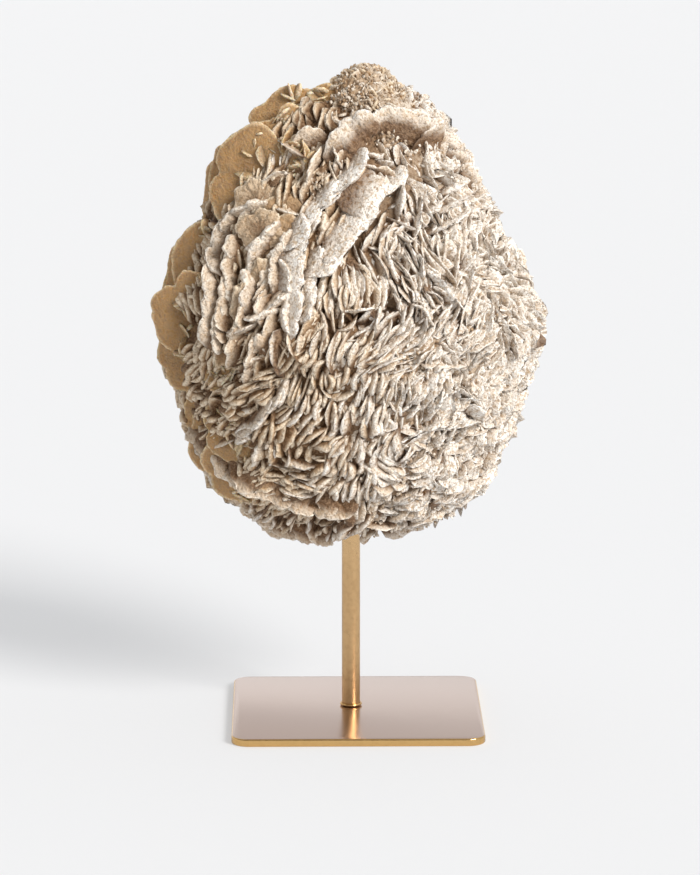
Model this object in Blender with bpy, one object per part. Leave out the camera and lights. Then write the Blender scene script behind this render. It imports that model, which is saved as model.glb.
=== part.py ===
"""Gypsum sand rose on its display stand.

The rose is one natural solid: an egg-shaped mass of desert sand held together
by hundreds of lens-shaped gypsum blades. It stands on a gilded brass post that
is brazed to a square plate with rounded corners.

Frame: origin at the centre of the plate's underside, +Z up, front towards -Y.
Units are metres; the tables below are in millimetres and degrees.
"""
import math
import random

import bmesh
import bpy
from mathutils import Matrix, Vector

MM = 0.001

# Stand
PLATE_SIDE = 127.0
PLATE_THICKNESS = 4.0
PLATE_CORNER_RADIUS = 9.0
PLATE_EDGE_BREAK = 0.6
POST_DIAMETER = 9.5
POST_TOP = 168.0
POST_OFFSET = (-2.9, 4.0)
BEAD_WIDTH = 1.1
BEAD_HEIGHT = 1.4
FIT_GAP = 0.3

# Rose: half of its width at each height, out to the tips of the blades
OUTLINE = [
    (87.0, 4.0), (93.0, 33.0), (104.0, 53.0), (124.0, 73.0), (150.0, 84.0),
    (176.0, 92.0), (200.0, 98.5), (222.0, 94.0), (246.0, 80.0), (268.0, 70.0),
    (290.0, 58.0), (308.0, 43.0), (324.0, 28.0), (334.0, 18.0), (340.0, 8.0),
]
DEPTH_TO_WIDTH = 0.78
CROWN_SHIFT = 8.0
CROWN_SHIFT_FROM = 285.0
CROWN_SHIFT_TO = 330.0
HEART_INSET = 8.0
HEART_RINGS = 15
HEART_SIDES = 26
BLADE_SIDES = 12

# Petals that show singly. Each row: turn about the post's line from the front,
# to the right; height; radius; how far the rim stands out of the heart; grain,
# the rim's direction on the surface from level; lean, away from standing square.
PETALS = [
    # broad plates of the left rim, lying almost flat to the front
    (-84, 282, 34, 12, 62, -38), (-88, 252, 30, 12, 75, -34),
    (-90, 205, 32, 13, 88, -40), (-86, 178, 30, 12, 100, -36),
    (-80, 152, 34, 11, 108, -34), (-76, 130, 30, 11, 124, -30),
    (-62, 314, 20, 12, 34, -30), (-60, 300, 24, 9, 48, -36),
    # arched plates behind the crown
    (10, 316, 34, 11, 4, 34), (36, 300, 36, 10, -28, 30),
    (78, 308, 24, 11, -58, 24), (84, 286, 28, 9, -64, 22),
    # long ridges that run down the front from the crown
    (-2, 290, 34, 11, 58, 10), (-16, 276, 36, 11, 62, 12),
    (10, 286, 28, 10, 52, 8), (-4, 264, 30, 9, 60, 6),
    (-38, 268, 34, 11, 70, 16), (-48, 250, 38, 12, 84, 20),
    (-34, 240, 30, 10, 72, 16), (-60, 232, 34, 11, 88, 24),
    (-24, 252, 30, 9, 66, 14), (-46, 214, 30, 9, 92, 18),
    # leaves of the right shoulder
    (34, 276, 22, 10, 28, -16), (44, 268, 24, 10, 26, -14),
    (56, 258, 22, 9, 22, -14), (40, 258, 20, 8, 84, 0),
    (58, 240, 22, 9, 86, 8), (72, 262, 24, 9, -66, 20),
    # curved plates around the lower left and the foot
    (-58, 190, 26, 9, 96, 24), (-52, 168, 26, 9, 104, 26),
    (-64, 150, 28, 10, 118, 30), (-50, 130, 34, 10, 142, 34),
    (-28, 112, 38, 10, 160, 36), (-4, 102, 36, 9, 176, 34),
    (-62, 108, 32, 11, 150, 30), (-36, 96, 32, 10, 166, 26),
    # bands around the right side
    (84, 226, 34, 10, -72, 18), (88, 196, 34, 10, 84, 18),
    (80, 168, 32, 9, 74, 18), (72, 138, 30, 9, 58, 20),
    (48, 114, 32, 9, 28, 24), (20, 100, 32, 9, 8, 26),
]

# Blades set by rule all round the rose: small and close on the front, broad on the back
RULE_BLADES = 120
RULE_LOW, RULE_HIGH = 100.0, 322.0
GOLDEN_SHARE = 0.618034
FRONT_CROWDING = 0.4
FRONT_RADIUS, BACK_RADIUS = 15.0, 25.0


def half_width(height):
    """Half of the rose's width at a height, read off its outline."""
    for (low, low_half), (high, high_half) in zip(OUTLINE, OUTLINE[1:]):
        if height <= high:
            share = max(0.0, (height - low) / (high - low))
            return low_half + (high_half - low_half) * share
    return OUTLINE[-1][1]


def on_outline(turn, height, inset=0.0):
    """A point of the rose's envelope, in millimetres, moved in by an inset."""
    half = max(half_width(height) - inset, 0.5)
    angle = math.radians(turn)
    shift = (height - CROWN_SHIFT_FROM) / (CROWN_SHIFT_TO - CROWN_SHIFT_FROM)
    x = half * math.sin(angle) + CROWN_SHIFT * min(max(shift, 0.0), 1.0)
    y = -half * DEPTH_TO_WIDTH * math.cos(angle)
    return Vector((x + POST_OFFSET[0], y + POST_OFFSET[1], height))


def outward(turn, height):
    """The envelope's outward direction."""
    step = 4.0
    low = max(height - step, OUTLINE[0][0])
    high = min(height + step, OUTLINE[-1][0])
    rise = on_outline(turn, high) - on_outline(turn, low)
    around = on_outline(turn + 2.0, height) - on_outline(turn - 2.0, height)
    return around.cross(rise).normalized()


def blade_frame(turn, height, radius, stand, grain, lean):
    """The matrix that sets a disc into the rose with its rim standing out."""
    normal = outward(turn, height)
    level = Vector((0, 0, 1)).cross(normal).normalized()
    upward = normal.cross(level)
    angle = math.radians(grain)
    along = level * math.cos(angle) + upward * math.sin(angle)
    rising = Matrix.Rotation(math.radians(lean), 3, along) @ normal
    face = along.cross(rising)
    centre = on_outline(turn, height, HEART_INSET) + rising * (stand - radius)
    turned = Matrix((along, rising, face)).transposed().to_4x4()
    return Matrix.Translation(centre) @ turned


def add_blade(mesh, radius, thickness, frame, draw):
    """A lens-shaped crystal blade: a sharp, slightly uneven rim and two domed faces."""
    rim = []
    for side in range(BLADE_SIDES):
        angle = 2 * math.pi * side / BLADE_SIDES
        reach = radius * draw.uniform(0.93, 1.04)
        rim.append(mesh.verts.new(frame @ Vector((reach * math.cos(angle), reach * math.sin(angle), 0))))
    tops = [mesh.verts.new(frame @ Vector((0, 0, side * thickness / 2))) for side in (1, -1)]
    for side in range(BLADE_SIDES):
        first, second = rim[side], rim[(side + 1) % BLADE_SIDES]
        mesh.faces.new((first, second, tops[0]))
        mesh.faces.new((second, first, tops[1]))


def new_object(name, mesh, colour, roughness, metallic):
    """Turn a bmesh in millimetres into a named object with its own material."""
    mesh.normal_update()
    data = bpy.data.meshes.new(name)
    bmesh.ops.scale(mesh, vec=(MM, MM, MM), verts=mesh.verts)
    mesh.to_mesh(data)
    mesh.free()
    material = bpy.data.materials.new(name)
    material.use_nodes = True
    shader = material.node_tree.nodes["Principled BSDF"]
    shader.inputs["Base Color"].default_value = (*colour, 1.0)
    shader.inputs["Roughness"].default_value = roughness
    shader.inputs["Metallic"].default_value = metallic
    data.materials.append(material)
    item = bpy.data.objects.new(name, data)
    bpy.context.scene.collection.objects.link(item)
    return item


def make_heart():
    """The sand-filled mass between the blades, closed at the crown and the foot."""
    mesh = bmesh.new()
    low, high = OUTLINE[0][0] + 6.0, OUTLINE[-1][0] - 6.0
    rings = []
    for level in range(HEART_RINGS):
        share = 0.5 - 0.5 * math.cos(math.pi * (level + 0.6) / (HEART_RINGS + 0.2))
        height = low + (high - low) * share
        ring = []
        for side in range(HEART_SIDES):
            turn = 360.0 * side / HEART_SIDES
            swell = 1.6 * math.sin(math.radians(3 * turn + 2.1 * height))
            ring.append(mesh.verts.new(on_outline(turn, height, HEART_INSET + swell)))
        rings.append(ring)
    for lower, upper in zip(rings, rings[1:]):
        for side in range(HEART_SIDES):
            after = (side + 1) % HEART_SIDES
            mesh.faces.new((lower[side], lower[after], upper[after], upper[side]))
    foot = mesh.verts.new(Vector((*POST_OFFSET, low)))
    crown = mesh.verts.new(Vector((POST_OFFSET[0] + CROWN_SHIFT, POST_OFFSET[1], high)))
    for side in range(HEART_SIDES):
        after = (side + 1) % HEART_SIDES
        mesh.faces.new((rings[0][after], rings[0][side], foot))
        mesh.faces.new((rings[-1][side], rings[-1][after], crown))
    return mesh


def make_blades():
    """Every blade of the rose: the single petals, the back's rows and the fine books."""
    mesh = bmesh.new()
    draw = random.Random(14)
    for turn, height, radius, stand, grain, lean in PETALS:
        frame = blade_frame(turn, height, radius, stand, grain, lean)
        add_blade(mesh, radius, 0.24 * radius, frame, draw)
    for step in range(RULE_BLADES):
        height = RULE_LOW + (RULE_HIGH - RULE_LOW) * (step + 0.5) / RULE_BLADES
        aside = 2 * ((step * GOLDEN_SHARE) % 1.0) - 1
        turn = 180 * aside * abs(aside) ** FRONT_CROWDING
        behind = 0.5 - 0.5 * math.cos(math.radians(turn))
        radius = (FRONT_RADIUS + (BACK_RADIUS - FRONT_RADIUS) * behind) * draw.uniform(0.9, 1.15)
        grain = 65 + 50 * math.sin(math.radians(turn * 2 + height)) + draw.uniform(-14, 14)
        frame = blade_frame(turn, height, radius, draw.uniform(7, 10), grain, draw.uniform(-18, 18))
        add_blade(mesh, radius, 0.26 * radius, frame, draw)
    return mesh


def keep_largest_body(mesh):
    """Delete the small closed hollows that a union of crossing blades leaves inside."""
    left = set(mesh.verts)
    bodies = []
    while left:
        front = [left.pop()]
        body = set(front)
        while front:
            vert = front.pop()
            for edge in vert.link_edges:
                other = edge.other_vert(vert)
                if other in left:
                    left.discard(other)
                    body.add(other)
                    front.append(other)
        bodies.append(body)
    bodies.sort(key=len)
    loose = [vert for body in bodies[:-1] for vert in body]
    bmesh.ops.delete(mesh, geom=loose, context="VERTS")


def cut_or_join(target, other, operation, crossing=False):
    """One exact Boolean, applied to the target; the other object is then removed."""
    step = target.modifiers.new(operation.lower(), "BOOLEAN")
    step.operation = operation
    step.solver = "EXACT"
    step.use_self = crossing
    step.object = other
    bpy.context.view_layer.update()
    result = bpy.data.meshes.new_from_object(target.evaluated_get(bpy.context.evaluated_depsgraph_get()))
    target.modifiers.clear()
    target.data = result
    bpy.data.objects.remove(other)


def make_sand_rose():
    """The whole rose as one solid, with the blind hole drilled for the post."""
    sand = (0.62, 0.52, 0.41)
    rose = new_object("sand_rose", make_heart(), sand, 0.9, 0.0)
    blades = new_object("blades", make_blades(), sand, 0.9, 0.0)
    cut_or_join(rose, blades, "UNION", crossing=True)
    drill = bmesh.new()
    top = POST_TOP + FIT_GAP
    bottom = OUTLINE[0][0] - 20.0
    bmesh.ops.create_cone(drill, cap_ends=True, segments=32, depth=top - bottom,
                          radius1=POST_DIAMETER / 2 + FIT_GAP, radius2=POST_DIAMETER / 2 + FIT_GAP,
                          matrix=Matrix.Translation((*POST_OFFSET, (top + bottom) / 2)))
    cut_or_join(rose, new_object("drill", drill, sand, 0.9, 0.0), "DIFFERENCE")
    mesh = bmesh.new()
    mesh.from_mesh(rose.data)
    bmesh.ops.remove_doubles(mesh, verts=mesh.verts, dist=0.000002)
    keep_largest_body(mesh)
    bmesh.ops.triangulate(mesh, faces=mesh.faces)
    mesh.to_mesh(rose.data)
    mesh.free()


def make_post():
    """A round brass rod that runs from the plate up into the drilled hole."""
    mesh = bmesh.new()
    bottom = PLATE_THICKNESS + FIT_GAP
    bmesh.ops.create_cone(mesh, cap_ends=True, segments=48, depth=POST_TOP - bottom,
                          radius1=POST_DIAMETER / 2, radius2=POST_DIAMETER / 2,
                          matrix=Matrix.Translation((*POST_OFFSET, (POST_TOP + bottom) / 2)))
    post = new_object("post", mesh, (0.62, 0.42, 0.20), 0.32, 1.0)
    post.data.shade_smooth()
    post.data.set_sharp_from_angle(angle=math.radians(40))


def make_foot_bead():
    """The fillet of braze that joins the rod to the plate, as a turned ring."""
    mesh = bmesh.new()
    inner = POST_DIAMETER / 2 + FIT_GAP
    floor = PLATE_THICKNESS + FIT_GAP
    steps = 5
    profile = [(inner, floor), (inner + BEAD_WIDTH, floor)]
    for step in range(1, steps + 1):
        angle = math.pi / 2 * step / steps
        profile.append((inner + BEAD_WIDTH * (1 - math.sin(angle) * 0.85), floor + BEAD_HEIGHT * (1 - math.cos(angle))))
    profile.append((inner, floor + BEAD_HEIGHT))
    verts = [mesh.verts.new((x, 0, z)) for x, z in profile]
    edges = [mesh.edges.new((verts[i], verts[(i + 1) % len(verts)])) for i in range(len(verts))]
    bmesh.ops.spin(mesh, geom=verts + edges, cent=(0, 0, 0), axis=(0, 0, 1), dvec=(0, 0, 0),
                   angle=2 * math.pi, steps=40, use_merge=True)
    bmesh.ops.remove_doubles(mesh, verts=mesh.verts, dist=0.001)
    bmesh.ops.recalc_face_normals(mesh, faces=mesh.faces)
    bmesh.ops.translate(mesh, verts=mesh.verts, vec=(*POST_OFFSET, 0))
    bead = new_object("foot_bead", mesh, (0.70, 0.50, 0.26), 0.4, 1.0)
    bead.data.shade_smooth()


def make_base_plate():
    """A square of rolled brass with rounded corners and a broken edge."""
    mesh = bmesh.new()
    bmesh.ops.create_cube(mesh, size=1.0)
    bmesh.ops.scale(mesh, vec=(PLATE_SIDE, PLATE_SIDE, PLATE_THICKNESS), verts=mesh.verts)
    uprights = [edge for edge in mesh.edges if abs(edge.verts[0].co.z - edge.verts[1].co.z) > 1.0]
    bmesh.ops.bevel(mesh, geom=uprights, offset=PLATE_CORNER_RADIUS, segments=8, profile=0.5,
                    affect="EDGES")
    mesh.normal_update()
    flats = [face for face in mesh.faces if abs(face.normal.z) > 0.9]
    rims = [edge for face in flats for edge in face.edges]
    bmesh.ops.bevel(mesh, geom=rims, offset=PLATE_EDGE_BREAK, segments=2, profile=0.5, affect="EDGES")
    bmesh.ops.translate(mesh, verts=mesh.verts, vec=(0, 0, PLATE_THICKNESS / 2))
    plate = new_object("base_plate", mesh, (0.66, 0.52, 0.44), 0.2, 1.0)
    plate.data.shade_smooth()
    plate.data.set_sharp_from_angle(angle=math.radians(30))


for item in list(bpy.data.objects):
    bpy.data.objects.remove(item)

make_sand_rose()
make_post()
make_foot_bead()
make_base_plate()
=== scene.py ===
import math
import random

import bpy
from mathutils import Matrix, Vector


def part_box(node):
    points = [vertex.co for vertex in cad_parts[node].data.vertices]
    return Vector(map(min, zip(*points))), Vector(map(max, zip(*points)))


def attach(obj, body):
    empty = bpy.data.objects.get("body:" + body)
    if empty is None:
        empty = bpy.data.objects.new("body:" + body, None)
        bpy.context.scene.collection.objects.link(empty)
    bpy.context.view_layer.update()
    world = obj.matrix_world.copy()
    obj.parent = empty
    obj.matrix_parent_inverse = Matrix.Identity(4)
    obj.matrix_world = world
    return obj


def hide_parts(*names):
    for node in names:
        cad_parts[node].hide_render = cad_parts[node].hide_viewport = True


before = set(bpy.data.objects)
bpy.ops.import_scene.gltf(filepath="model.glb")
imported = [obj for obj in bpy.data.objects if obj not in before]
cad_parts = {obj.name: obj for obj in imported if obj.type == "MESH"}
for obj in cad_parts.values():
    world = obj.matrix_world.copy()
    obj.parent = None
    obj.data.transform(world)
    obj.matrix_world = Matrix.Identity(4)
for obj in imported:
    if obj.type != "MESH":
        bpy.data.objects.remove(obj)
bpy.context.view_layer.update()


# ---- Where it stands -------------------------------------------------------
# A pale floor that sweeps up all round, far off, a broad window-like light from
# the right and a dim room on the left, so the left side falls into warm shade.

for item in bpy.context.selected_objects:
    item.select_set(False)


def lone_selection(item):
    """Make one object the only selected and the active one."""
    for other in list(bpy.context.selected_objects):
        other.select_set(False)
    item.select_set(True)
    bpy.context.view_layer.objects.active = item


FLOOR_RADIUS = 6.0
SWEEP_RADIUS = 3.0
SWEEP_STEPS = 40
SWEEP_TURN = 80.0
bpy.ops.mesh.primitive_circle_add(vertices=96, radius=FLOOR_RADIUS, fill_type="NGON")
floor = bpy.context.object
floor.name = "floor"
bpy.ops.object.mode_set(mode="EDIT")
bpy.ops.mesh.inset(thickness=0.02)
bpy.ops.object.mode_set(mode="OBJECT")
for edge in floor.data.edges:
    edge.select = all(floor.data.vertices[end].co.xy.length > FLOOR_RADIUS - 0.01 for end in edge.vertices)
bpy.ops.object.mode_set(mode="EDIT")
bpy.ops.mesh.select_mode(type="EDGE")
reach, level = FLOOR_RADIUS, 0.0
for step in range(1, SWEEP_STEPS + 1):
    turn = math.radians(SWEEP_TURN * step / SWEEP_STEPS)
    next_reach = FLOOR_RADIUS + SWEEP_RADIUS * math.sin(turn)
    next_level = SWEEP_RADIUS * (1.0 - math.cos(turn))
    bpy.ops.mesh.extrude_edges_move(TRANSFORM_OT_translate={"value": (0.0, 0.0, next_level - level)})
    bpy.ops.transform.resize(value=(next_reach / reach, next_reach / reach, 1.0))
    reach, level = next_reach, next_level
bpy.ops.mesh.select_all(action="SELECT")
bpy.ops.mesh.normals_make_consistent(inside=False)
bpy.ops.object.mode_set(mode="OBJECT")
if floor.data.polygons[0].normal.z < 0:
    floor.data.flip_normals()

# The paper gives off a little light of its own, so that the shadow on it stays faint.
paper = bpy.data.materials.new("pale_paper")
paper.use_nodes = True
paper_shader = paper.node_tree.nodes["Principled BSDF"]
paper_shader.inputs["Base Color"].default_value = (0.43, 0.435, 0.445, 1.0)
paper_shader.inputs["Emission Color"].default_value = (0.985, 0.99, 1.0, 1.0)
paper_shader.inputs["Emission Strength"].default_value = 0.385
paper_shader.inputs["Roughness"].default_value = 0.9
paper_shader.inputs["Specular IOR Level"].default_value = 0.1
floor.data.materials.append(paper)

camera_data = bpy.data.cameras.new("camera")
camera_data.lens = 177.3
camera_data.clip_end = 60.0
camera = bpy.data.objects.new("camera", camera_data)
camera.location = (-0.0333, -2.1377, 0.5678)
camera.rotation_euler = (math.radians(90.0 - 11.2), 0.0, math.radians(-0.8))
bpy.context.scene.collection.objects.link(camera)
bpy.context.scene.camera = camera

window_data = bpy.data.lights.new("window_right", "SUN")
window_data.energy = 3.6
window_data.angle = math.radians(22.0)
window_data.color = (1.0, 0.975, 0.94)
window = bpy.data.objects.new("window_right", window_data)
window.rotation_euler = Vector((0.90, -1.0, 0.82)).to_track_quat("Z", "Y").to_euler()
bpy.context.scene.collection.objects.link(window)

world = bpy.data.worlds.new("room")
bpy.context.scene.world = world
world.use_nodes = True
air = world.node_tree
air.nodes.clear()
air_way = air.nodes.new("ShaderNodeTexCoord")
air_side = air.nodes.new("ShaderNodeMapRange")
air_colour = air.nodes.new("ShaderNodeMix")
air_shine = air.nodes.new("ShaderNodeBackground")
air_out = air.nodes.new("ShaderNodeOutputWorld")
air_colour.data_type = "RGBA"
air_side.inputs["From Min"].default_value = -0.7
air_side.inputs["From Max"].default_value = 0.5
air_colour.inputs[6].default_value = (0.20, 0.19, 0.18, 1.0)
air_colour.inputs[7].default_value = (0.98, 0.99, 1.0, 1.0)
air_shine.inputs["Strength"].default_value = 0.74
air_aim = air.nodes.new("ShaderNodeVectorMath")
air_aim.operation = "DOT_PRODUCT"
air_aim.inputs[1].default_value = Vector((0.55, 0.72, 0.42)).normalized()
air.links.new(air_way.outputs["Generated"], air_aim.inputs[0])
air.links.new(air_aim.outputs["Value"], air_side.inputs["Value"])
air.links.new(air_side.outputs["Result"], air_colour.inputs["Factor"])
air.links.new(air_colour.outputs[2], air_shine.inputs["Color"])
air.links.new(air_shine.outputs["Background"], air_out.inputs["Surface"])

view = bpy.context.scene.view_settings
view.view_transform = "Standard"
view.look = "None"
view.exposure = 0.0


# ---- The heart of the rose -------------------------------------------------
# Desert sand held together by gypsum, an egg standing point up. It only shows
# in the gaps between the blades, as a brown, granular and pitted surface, with painted shade on it that is
# darker on the left.

OUTLINE = [
    (87.0, 4.0), (93.0, 33.0), (104.0, 53.0), (124.0, 73.0), (150.0, 84.0),
    (176.0, 92.0), (200.0, 98.5), (222.0, 94.0), (246.0, 80.0), (268.0, 70.0),
    (290.0, 58.0), (308.0, 43.0), (324.0, 28.0), (334.0, 18.0), (340.0, 8.0),
]
DEPTH_TO_WIDTH = 0.78
HEART_INSET = 7.0
MM = 0.001
CROWN_SHIFT = 8.0
VIEW_DROP = 0.2
BOOK_BASE = 8.0
post_low, post_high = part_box("post")
POST_LINE = Vector(((post_low[0] + post_high[0]) / 2, (post_low[1] + post_high[1]) / 2)) / MM


def clamp(value, low, high):
    """Hold a value between two ends."""
    return min(max(value, low), high)


def half_width(height):
    """Half of the rose's width at a height, in millimetres."""
    for (low, low_half), (high, high_half) in zip(OUTLINE, OUTLINE[1:]):
        if height <= high:
            share = max(0.0, (height - low) / (high - low))
            return low_half + (high_half - low_half) * share
    return OUTLINE[-1][1]


def relief(turn, height):
    """How far the skin swells out there, in millimetres: soft ridges and valleys."""
    angle = math.radians(turn)
    swell = 2.2 * math.sin(6 * angle + 0.05 * height) * math.cos(0.09 * height - 2 * angle)
    swell += 1.7 * math.sin(13 * angle - 0.16 * height + 1.0)
    return swell * abs(math.cos(angle)) * min(1.0, half_width(height) / 60.0)


def crown_shift(height):
    """How far the top leans to the right at a height, in millimetres."""
    return CROWN_SHIFT * clamp((height - 285.0) / 45.0, 0.0, 1.0)


def on_rose(turn, height, inset=HEART_INSET):
    """A point of the rose in millimetres; turn goes from the front to the right."""
    half = max(half_width(height) - inset + relief(turn, height), 0.5)
    angle = math.radians(turn)
    x = POST_LINE.x + half * math.sin(angle) + crown_shift(height)
    y = POST_LINE.y - half * DEPTH_TO_WIDTH * math.cos(angle)
    return Vector((x, y, height))


def outward(turn, height):
    """The direction that faces out of the rose there."""
    low, high = max(height - 6.0, OUTLINE[0][0]), min(height + 6.0, OUTLINE[-1][0])
    rise = on_rose(turn, high, 0.0) - on_rose(turn, low, 0.0)
    around = on_rose(turn + 5.0, height) - on_rose(turn - 5.0, height)
    return around.cross(rise).normalized()


def shape_noise(piece, name, size, depth, hard=False):
    """Push a mesh in and out by a cloud pattern: size and depth in millimetres."""
    pattern = bpy.data.textures.new(name, "CLOUDS")
    pattern.noise_scale = size * MM
    pattern.noise_depth = 2
    pattern.noise_type = "HARD_NOISE" if hard else "SOFT_NOISE"
    push = piece.modifiers.new(name, "DISPLACE")
    push.texture = pattern
    push.texture_coords = "LOCAL"
    push.mid_level = 0.5
    push.strength = depth * MM
    lone_selection(piece)
    bpy.ops.object.modifier_apply(modifier=name)
    bpy.data.textures.remove(pattern)


# Hollows between the petals, as x and z seen from the front, reach and depth.
HOLLOWS = [
    (-18, 276, 14, 7), (-34, 268, 10, 5), (19, 206, 7, 8), (18, 192, 6, 7), (1, 124, 5, 7), (4, 200, 5, 5),
    (46, 232, 8, 5), (56, 168, 6, 5), (30, 248, 7, 6), (-4, 246, 7, 6), (-64, 268, 12, 6),
]

bpy.ops.mesh.primitive_uv_sphere_add(segments=290, ring_count=230, radius=1.0)
heart = bpy.context.object
heart.name = "sand_heart"
heart_low, heart_high = OUTLINE[0][0] + 6.0, OUTLINE[-1][0] - 6.0
for vert in heart.data.vertices:
    level = 0.5 + math.asin(clamp(vert.co.z, -1.0, 1.0)) / math.pi
    height = heart_low + (heart_high - heart_low) * level
    turn = math.degrees(math.atan2(vert.co.x, -vert.co.y))
    close = min(1.0, 8.0 * min(level, 1.0 - level))
    middle = Vector((POST_LINE.x + (CROWN_SHIFT if level > 0.5 else 0.0), POST_LINE.y, height))
    skin = on_rose(turn, height)
    if abs(turn) < 80:
        x, z = skin.x - POST_LINE.x, height + VIEW_DROP * (skin.y - POST_LINE.y)
        for hollow_x, hollow_z, reach, depth in HOLLOWS:
            nearness = math.exp(-((x - hollow_x) ** 2 + (z - hollow_z) ** 2) / reach ** 2)
            skin += (middle - skin).normalized() * depth * nearness
    vert.co = middle.lerp(skin, close ** 0.5) * MM
shape_noise(heart, "swell", 14.0, 4.0)
shape_noise(heart, "pits", 3.4, 3.0, hard=True)
shape_noise(heart, "grit", 1.2, 1.1)
bpy.ops.object.shade_smooth()


def new_group(name, inputs, outputs):
    """An empty shader node group with named sockets, and its two end nodes."""
    group = bpy.data.node_groups.new(name, "ShaderNodeTree")
    for socket, kind, value in inputs:
        made = group.interface.new_socket(name=socket, in_out="INPUT", socket_type=kind)
        made.default_value = value
    for socket, kind in outputs:
        group.interface.new_socket(name=socket, in_out="OUTPUT", socket_type=kind)
    return group, group.nodes.new("NodeGroupInput"), group.nodes.new("NodeGroupOutput")


def cloud(tree, size, detail, spot=None):
    """A noise node whose pattern is a given number of millimetres across."""
    node = tree.nodes.new("ShaderNodeTexNoise")
    node.inputs["Scale"].default_value = 1.0 / (size * MM)
    node.inputs["Detail"].default_value = detail
    if spot is not None:
        tree.links.new(spot, node.inputs["Vector"])
    return node.outputs["Fac"]


def spread(tree, value, low, high, to_low=0.0, to_high=1.0):
    """Stretch a value's range, held between its ends."""
    node = tree.nodes.new("ShaderNodeMapRange")
    node.interpolation_type = "SMOOTHSTEP"
    node.inputs["From Min"].default_value = low
    node.inputs["From Max"].default_value = high
    node.inputs["To Min"].default_value = to_low
    node.inputs["To Max"].default_value = to_high
    tree.links.new(value, node.inputs["Value"])
    return node.outputs["Result"]


def maths(tree, kind, first, second):
    """A Math node on two links or numbers, clamped to 0..1."""
    node = tree.nodes.new("ShaderNodeMath")
    node.operation = kind
    node.use_clamp = True
    for socket, value in zip(node.inputs, (first, second)):
        if isinstance(value, (int, float)):
            socket.default_value = value
        else:
            tree.links.new(value, socket)
    return node.outputs[0]


def blend_colour(tree, amount, first, second, kind="MIX"):
    """Mix two colours or links by an amount."""
    node = tree.nodes.new("ShaderNodeMix")
    node.data_type = "RGBA"
    node.blend_type = kind
    for socket, value in ((node.inputs[0], amount), (node.inputs[6], first), (node.inputs[7], second)):
        if isinstance(value, (int, float, tuple)):
            socket.default_value = value
        else:
            tree.links.new(value, socket)
    return node.outputs[2]


# Sandy gypsum: clear amber crystal shows deep down, tan sand lies over it, and white frost and dust sit
# on the rims and on all that faces the open air. The deep colour is also painted shade: low down the faces,
# by the rise mark.
sandy, sandy_in, sandy_out = new_group(
    "sandy_gypsum",
    [("Deep_And_Shade", "NodeSocketColor", (0.20, 0.115, 0.055, 1.0)),
     ("Tan", "NodeSocketColor", (0.48, 0.36, 0.25, 1.0)),
     ("Frost", "NodeSocketColor", (0.86, 0.80, 0.72, 1.0)), ("Rim", "NodeSocketFloat", 0.0),
     ("Rise", "NodeSocketFloat", 0.5), ("Dust", "NodeSocketFloat", 0.5)],
    [("Color", "NodeSocketColor"), ("Roughness", "NodeSocketFloat"), ("Height", "NodeSocketFloat")])
spot = sandy.nodes.new("ShaderNodeTexCoord").outputs["Object"]
patches = cloud(sandy, 7.0, 5.0, spot)
specks = cloud(sandy, 2.0, 5.0, spot)
grit = cloud(sandy, 1.1, 3.0, spot)
# Painted shade: where the rise mark is low, down between the blades, the colour goes to the deep colour.
clear = spread(sandy, sandy_in.outputs["Rise"], 0.15, 0.75)
warm_tan = blend_colour(sandy, 1.0, sandy_in.outputs["Tan"], (0.80, 0.64, 0.46, 1.0), "MULTIPLY")
warm_frost = blend_colour(sandy, 1.0, sandy_in.outputs["Frost"], (0.92, 0.83, 0.69, 1.0), "MULTIPLY")
frost_here = blend_colour(sandy, spread(sandy, sandy_in.outputs["Dust"], 0.1, 0.7), warm_frost,
                          sandy_in.outputs["Frost"])
tan_here = blend_colour(sandy, spread(sandy, sandy_in.outputs["Dust"], 0.1, 0.6), warm_tan,
                        sandy_in.outputs["Tan"])
ground = blend_colour(sandy, clear, sandy_in.outputs["Deep_And_Shade"], tan_here)
ground = blend_colour(sandy, spread(sandy, specks, 0.50, 0.60, 0.0, 0.5), ground,
                      (0.30, 0.18, 0.09, 1.0))
on_rim = maths(sandy, "MULTIPLY", sandy_in.outputs["Rim"], spread(sandy, specks, 0.36, 0.50, 0.5, 1.0))
on_face = maths(sandy, "MULTIPLY", sandy_in.outputs["Dust"], spread(sandy, specks, 0.33, 0.50))
on_face = maths(sandy, "MULTIPLY", on_face, spread(sandy, patches, 0.35, 0.6, 0.6, 1.0))
# The frost fades down the faces with the painted shade.
frosted = maths(sandy, "MULTIPLY", maths(sandy, "MAXIMUM", on_rim, on_face),
                spread(sandy, sandy_in.outputs["Rise"], 0.1, 0.8, 0.1, 1.0))
sandy_colour = blend_colour(sandy, frosted, ground, frost_here)
sandy_colour = blend_colour(sandy, spread(sandy, grit, 0.53, 0.62, 0.0, 0.6), sandy_colour,
                            (0.33, 0.21, 0.12, 1.0))
sandy.links.new(sandy_colour, sandy_out.inputs["Color"])
sandy.links.new(spread(sandy, frosted, 0.0, 1.0, 0.62, 0.92), sandy_out.inputs["Roughness"])
sandy_height = maths(sandy, "ADD", maths(sandy, "MULTIPLY", specks, 0.6), maths(sandy, "MULTIPLY", grit, 0.4))
sandy.links.new(sandy_height, sandy_out.inputs["Height"])


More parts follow.
